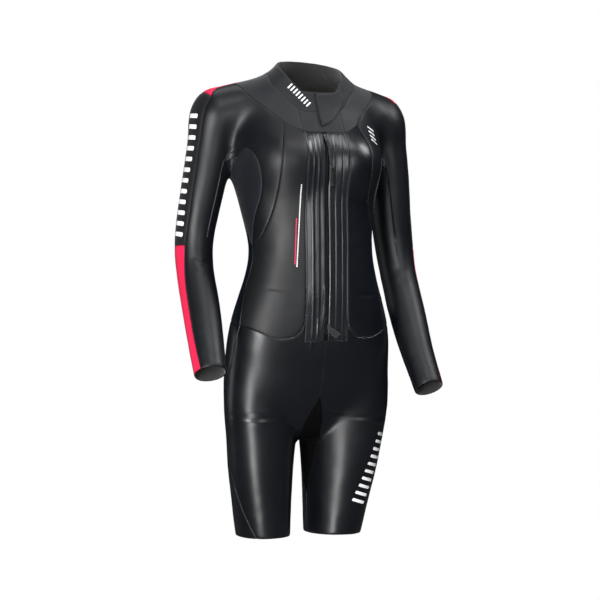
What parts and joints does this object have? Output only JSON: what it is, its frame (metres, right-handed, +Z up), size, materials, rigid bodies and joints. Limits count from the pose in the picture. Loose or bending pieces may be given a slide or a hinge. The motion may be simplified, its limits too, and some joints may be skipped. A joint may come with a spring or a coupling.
{
  "type": "swimrun wetsuit",
  "caption": "Close-fitting one-piece swimrun wetsuit, women's cut, with long sleeves, legs cut above the knee, a low collar and a front zip, filled out with no wearer.",
  "frame": {"origin": "between the shoulders at the height of the neck's base, where the wearer's shoulders hold the suit", "axes": "+Z up, the suit's front faces -Y, the wearer's left is +X"},
  "size_m": [0.5125, 0.2497, 0.9376],
  "materials": {
    "black_cloth": "matt knitted face bonded to neoprene",
    "soft_cloth": "matt stretch knit bonded to neoprene",
    "smooth_skin": "satin smooth-skin neoprene",
    "red_cloth": "crimson knitted face bonded to neoprene",
    "zip_teeth": "black moulded teeth",
    "zip_metal": "black enamelled die-cast metal",
    "puller_rubber": "matt rubber grip on a flat cord",
    "grey_web": "grey woven tape"
  },
  "bodies": {
    "suit": {"back": "smooth_skin", "collar_back": "soft_cloth", "collar_flap": "soft_cloth", "zip_guard": "soft_cloth", "zip_chain": "zip_teeth", "gusset": "black_cloth", "zip_slider": "zip_metal", "end_tab": "grey_web", "collar_front_right": "soft_cloth", "collar_front_left": "soft_cloth", "front_right": "smooth_skin", "front_left": "smooth_skin", "zip_band_right": "smooth_skin", "zip_band_left": "smooth_skin", "yoke_right": "soft_cloth", "yoke_left": "soft_cloth", "side_right": "black_cloth", "side_left": "black_cloth", "sleeve_front_right": "smooth_skin", "sleeve_front_left": "smooth_skin", "sleeve_back_right": "smooth_skin", "sleeve_back_left": "smooth_skin", "strip_fore_right": "red_cloth", "strip_fore_left": "red_cloth", "strip_upper_right": "black_cloth", "strip_upper_left": "black_cloth", "strip_shoulder_right": "red_cloth", "strip_shoulder_left": "red_cloth", "shorts_front_right": "smooth_skin", "shorts_front_left": "smooth_skin", "shorts_back_right": "smooth_skin", "shorts_back_left": "smooth_skin"},
    "puller": {"puller": "puller_rubber"}
  },
  "joints": [
    {"name": "puller_hinge", "type": "hinge", "parent": "suit", "child": "puller", "pos_m": [0, -0.11779, -0.10334], "axis": [1, 0, 0], "range_deg": [-120, 0]}
  ]
}
